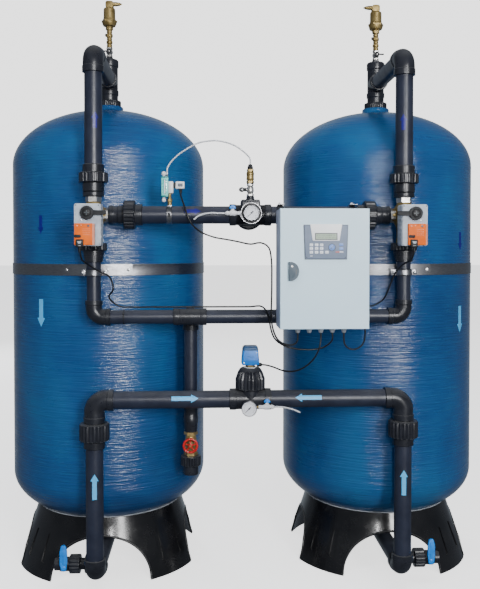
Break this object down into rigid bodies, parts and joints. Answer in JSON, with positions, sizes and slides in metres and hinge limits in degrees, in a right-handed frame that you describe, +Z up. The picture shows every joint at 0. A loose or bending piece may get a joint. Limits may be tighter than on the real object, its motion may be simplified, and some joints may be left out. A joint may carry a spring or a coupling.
{
  "type": "duplex iron removal filter",
  "caption": "Twin fibreglass media tanks on arched bases with shared inlet, outlet and backwash pipework, motorised valves and a control cabinet.",
  "frame": {"origin": "on the floor, under the middle of the whole unit without its cords", "axes": "+Z up, -Y toward the front with the cabinet, +X to the right as seen from the front"},
  "size_m": [1.9054, 1.0902, 2.2936],
  "materials": {
    "tank_resin": "gloss gel coat over wound glass fibre",
    "base_moulding": "gloss black moulding",
    "media": "granular",
    "dark_pvc": "dark slate PVC",
    "brass": "forged and turned",
    "steel": "stainless",
    "actuator_grey": "satin",
    "cover_orange": "satin",
    "black_plastic": "satin",
    "handle_blue": "gloss",
    "wheel_red": "gloss paint",
    "white_plastic": "satin",
    "cabinet_paint": "powder coat",
    "controller_grey": "membrane front",
    "cord_sheath": "satin",
    "clear_tube": "translucent tube"
  },
  "bodies": {
    "unit": {"tank_left": "tank_resin", "tank_right": "tank_resin", "base_left": "base_moulding", "base_right": "base_moulding", "media_bed_left": "media", "media_bed_right": "media", "top_tee_left": "dark_pvc", "top_tee_right": "dark_pvc", "air_vent_left": "brass", "air_vent_right": "brass", "upper_riser_left": "dark_pvc", "upper_riser_right": "dark_pvc", "valve_body_left": "brass", "valve_body_right": "brass", "actuator_left": "actuator_grey", "actuator_right": "actuator_grey", "actuator_cover_left": "cover_orange", "actuator_cover_right": "cover_orange", "backwash_arm_left": "dark_pvc", "backwash_arm_right": "dark_pvc", "support_band_left": "steel", "support_band_right": "steel", "outlet_riser_left": "dark_pvc", "outlet_riser_right": "dark_pvc", "drain_cock_left": "dark_pvc", "drain_cock_right": "dark_pvc", "inlet_header": "dark_pvc", "air_check_valve": "brass", "air_flowmeter": "white_plastic", "gauge_upper": "steel", "sample_valve_upper": "white_plastic", "backwash_tee": "dark_pvc", "gate_valve": "brass", "outlet_header": "dark_pvc", "flow_switch": "handle_blue", "gauge_lower": "steel", "sample_valve_lower": "white_plastic", "cabinet": "cabinet_paint", "cable_left_actuator": "cord_sheath", "cable_right_actuator": "cord_sheath", "cable_solenoid": "cord_sheath", "cable_flow_switch": "cord_sheath", "air_tube": "clear_tube", "sample_tube_upper": "clear_tube", "sample_tube_lower": "clear_tube"},
    "valve_left": {"valve_rotor_left": "black_plastic"},
    "valve_right": {"valve_rotor_right": "black_plastic"},
    "vent_lever_left": {"vent_lever_left": "black_plastic"},
    "vent_lever_right": {"vent_lever_right": "black_plastic"},
    "drain_handle_left": {"drain_handle_left": "handle_blue"},
    "drain_handle_right": {"drain_handle_right": "handle_blue"},
    "air_cock_handle": {"air_cock_handle": "black_plastic"},
    "pointer_upper": {"gauge_pointer_upper": "black_plastic"},
    "pointer_lower": {"gauge_pointer_lower": "black_plastic"},
    "sample_handle_upper": {"sample_handle_upper": "handle_blue"},
    "sample_handle_lower": {"sample_handle_lower": "handle_blue"},
    "handwheel": {"handwheel": "wheel_red"},
    "door": {"cabinet_door": "cabinet_paint", "controller": "controller_grey"},
    "lock": {"door_lock": "black_plastic"}
  },
  "joints": [
    {"name": "valve_turn_left", "type": "hinge", "parent": "unit", "child": "valve_left", "pos_m": [-0.56, -0.3176, 1.385], "axis": [0, -1, 0], "range_deg": [0, 90]},
    {"name": "valve_turn_right", "type": "hinge", "parent": "unit", "child": "valve_right", "pos_m": [0.56, -0.3176, 1.385], "axis": [0, 1, 0], "range_deg": [0, 90]},
    {"name": "vent_turn_left", "type": "hinge", "parent": "unit", "child": "vent_lever_left", "pos_m": [-0.56, 0.13085, 2.0829], "axis": [0, 1, 0], "range_deg": [0, 90]},
    {"name": "vent_turn_right", "type": "hinge", "parent": "unit", "child": "vent_lever_right", "pos_m": [0.56, 0.13085, 2.0829], "axis": [0, -1, 0], "range_deg": [0, 90]},
    {"name": "drain_turn_left", "type": "hinge", "parent": "unit", "child": "drain_handle_left", "pos_m": [-0.6814, -0.2669, 0.095], "axis": [0, -1, 0], "range_deg": [0, 90]},
    {"name": "drain_turn_right", "type": "hinge", "parent": "unit", "child": "drain_handle_right", "pos_m": [0.6814, -0.2669, 0.095], "axis": [0, 1, 0], "range_deg": [0, 90]},
    {"name": "air_cock_turn", "type": "hinge", "parent": "unit", "child": "air_cock_handle", "pos_m": [-0.015, -0.3176, 1.47646], "axis": [1, 0, 0], "range_deg": [0, 90]},
    {"name": "gauge_sweep_upper", "type": "hinge", "parent": "unit", "child": "pointer_upper", "pos_m": [0, -0.3992, 1.389], "axis": [0, 1, 0], "range_deg": [0, 270]},
    {"name": "gauge_sweep_lower", "type": "hinge", "parent": "unit", "child": "pointer_lower", "pos_m": [-0.008, -0.3992, 0.701], "axis": [0, 1, 0], "range_deg": [0, 270]},
    {"name": "sample_turn_upper", "type": "hinge", "parent": "unit", "child": "sample_handle_upper", "pos_m": [-0.0653, -0.3699, 1.4048], "axis": [0, 0, 1], "range_deg": [0, 90]},
    {"name": "sample_turn_lower", "type": "hinge", "parent": "unit", "child": "sample_handle_lower", "pos_m": [0.0573, -0.3699, 0.7168], "axis": [0, 0, 1], "range_deg": [0, 90]},
    {"name": "gate_spindle", "type": "hinge", "parent": "unit", "child": "handwheel", "pos_m": [-0.217, -0.1976, 0.53848], "axis": [0, 1, 0], "range_deg": [0, 1440]},
    {"name": "door_hinge", "type": "hinge", "parent": "unit", "child": "door", "pos_m": [0.3875, -0.5169, 1.196], "axis": [0, 0, 1], "range_deg": [0, 120]},
    {"name": "lock_turn", "type": "hinge", "parent": "door", "child": "lock", "pos_m": [0.1325, -0.5329, 1.188], "axis": [0, 1, 0], "range_deg": [0, 90]}
  ]
}
